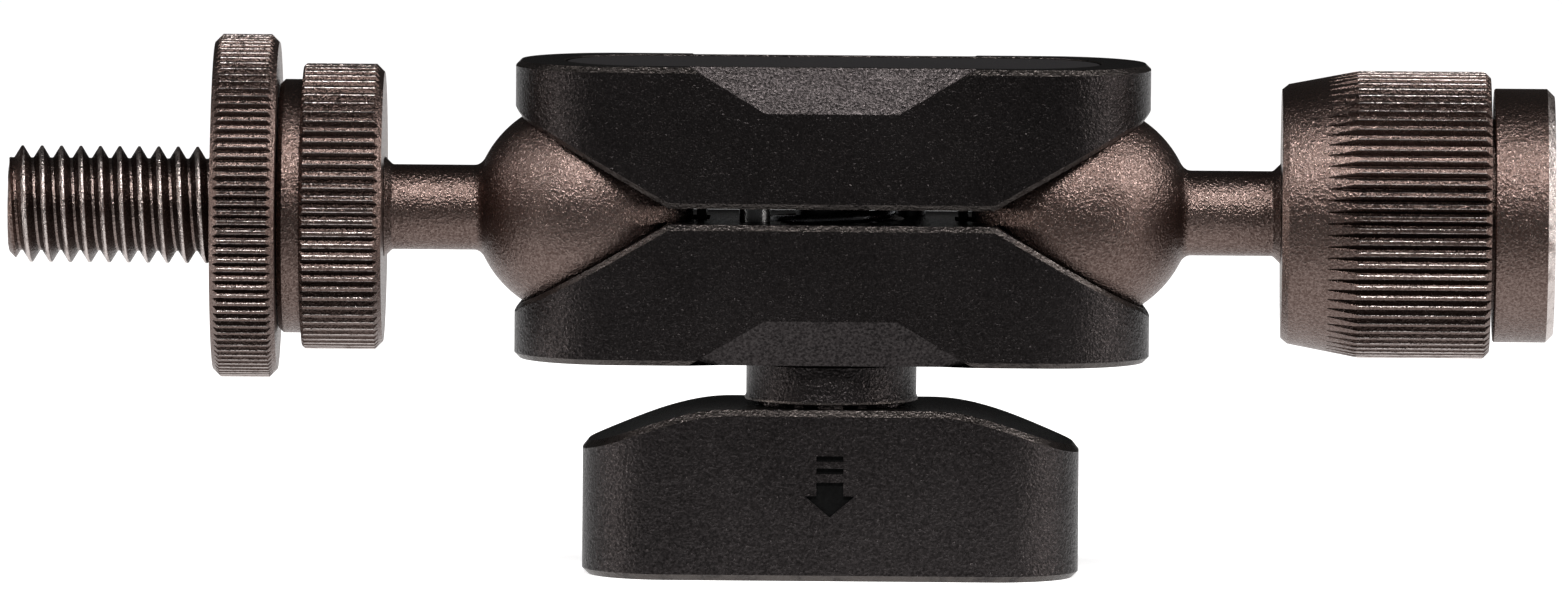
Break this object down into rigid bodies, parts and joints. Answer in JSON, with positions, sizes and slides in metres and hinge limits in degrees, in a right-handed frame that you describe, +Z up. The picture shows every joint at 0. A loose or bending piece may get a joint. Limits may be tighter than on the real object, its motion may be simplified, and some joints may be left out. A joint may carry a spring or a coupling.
{
  "type": "double ball clamp arm",
  "caption": "Short articulated arm: two ball stems clamped between two plates by a bar knob, with a threaded stud and lock ring at one end and a knurled socket barrel at the other.",
  "frame": {"origin": "middle of the knob's flat base, on the clamp bolt's axis", "axes": "+Z up along the clamp bolt from the knob to the plates, +X along the arm towards the socket barrel (the stud points along -X)"},
  "size_m": [0.126, 0.028, 0.0437],
  "materials": {
    "bronze_anodised": "bead-blasted and hard-anodised bronze-brown, fine grain, satin",
    "black_anodised": "bead-blasted and anodised black, fine sparkling grain, satin",
    "soft_black": "matt black, smooth",
    "dark_nylon": "dark nylon, satin",
    "zinc_steel": "turned and zinc-plated steel",
    "spring_steel": "drawn spring wire"
  },
  "bodies": {
    "upper_clamp": {"upper_clamp_plate": "black_anodised", "top_cover": "soft_black", "clamp_bolt": "zinc_steel", "guide_pin_left": "zinc_steel", "guide_pin_right": "zinc_steel", "plate_spring": "spring_steel"},
    "lower_clamp": {"lower_clamp_plate": "black_anodised", "thrust_washer": "dark_nylon"},
    "hub": {"knob_hub": "black_anodised", "hub_screw": "zinc_steel", "retaining_washer": "zinc_steel", "ratchet_spring": "spring_steel"},
    "knob": {"tension_knob": "black_anodised", "knob_cap": "soft_black"},
    "left_band": {"left_friction_band": "dark_nylon"},
    "stud_arm": {"stud_ball_stem": "bronze_anodised"},
    "stud_head": {"stud_collar": "bronze_anodised", "threaded_stud": "bronze_anodised"},
    "ring_insert": {"lock_ring_insert": "dark_nylon"},
    "ring": {"lock_ring": "bronze_anodised"},
    "right_band": {"right_friction_band": "dark_nylon"},
    "receiver_arm": {"receiver_ball_stem": "bronze_anodised", "swivel_washer": "zinc_steel", "swivel_screw": "zinc_steel"},
    "receiver_head": {"receiver_barrel": "bronze_anodised", "socket_insert": "bronze_anodised"}
  },
  "joints": [
    {"name": "clamp_release", "type": "slide", "parent": "upper_clamp", "child": "lower_clamp", "axis": [0, 0, -1], "range_m": [0, 0.001], "deforming": ["plate_spring"]},
    {"name": "knob_turn", "type": "hinge", "parent": "lower_clamp", "child": "hub", "pos_m": [0, 0, 0.01585], "axis": [0, 0, -1], "range_deg": [0, 360]},
    {"name": "knob_pull", "type": "slide", "parent": "hub", "child": "knob", "axis": [0, 0, -1], "range_m": [0, 0.0028], "stiffness_N_per_m": 1500, "springref_m": -0.002, "deforming": ["ratchet_spring"]},
    {"name": "left_tilt", "type": "hinge", "parent": "upper_clamp", "child": "left_band", "pos_m": [-0.02035, 0, 0.02975], "axis": [0, 1, 0], "range_deg": [-30, 30]},
    {"name": "left_swing", "type": "hinge", "parent": "left_band", "child": "stud_arm", "pos_m": [-0.02035, 0, 0.02975], "axis": [0, 0, 1], "range_deg": [-90, 90]},
    {"name": "left_spin", "type": "hinge", "parent": "stud_arm", "child": "stud_head", "pos_m": [-0.02035, 0, 0.02975], "axis": [-1, 0, 0], "continuous": true},
    {"name": "lock_ring_travel", "type": "slide", "parent": "stud_head", "child": "ring_insert", "axis": [-1, 0, 0], "range_m": [0, 0.0127]},
    {"name": "lock_ring_turn", "type": "hinge", "parent": "ring_insert", "child": "ring", "pos_m": [-0.0478, 0, 0.02975], "axis": [-1, 0, 0], "range_deg": [0, 2880]},
    {"name": "right_tilt", "type": "hinge", "parent": "upper_clamp", "child": "right_band", "pos_m": [0.02035, 0, 0.02975], "axis": [0, 1, 0], "range_deg": [-30, 30]},
    {"name": "right_swing", "type": "hinge", "parent": "right_band", "child": "receiver_arm", "pos_m": [0.02035, 0, 0.02975], "axis": [0, 0, 1], "range_deg": [-90, 90]},
    {"name": "right_spin", "type": "hinge", "parent": "receiver_arm", "child": "receiver_head", "pos_m": [0.02035, 0, 0.02975], "axis": [1, 0, 0], "continuous": true}
  ],
  "couplings": [
    {"joint": "knob_turn", "follows": "clamp_release", "rad_per_m": 6283.2},
    {"joint": "lock_ring_turn", "follows": "lock_ring_travel", "rad_per_m": 3957.9}
  ]
}
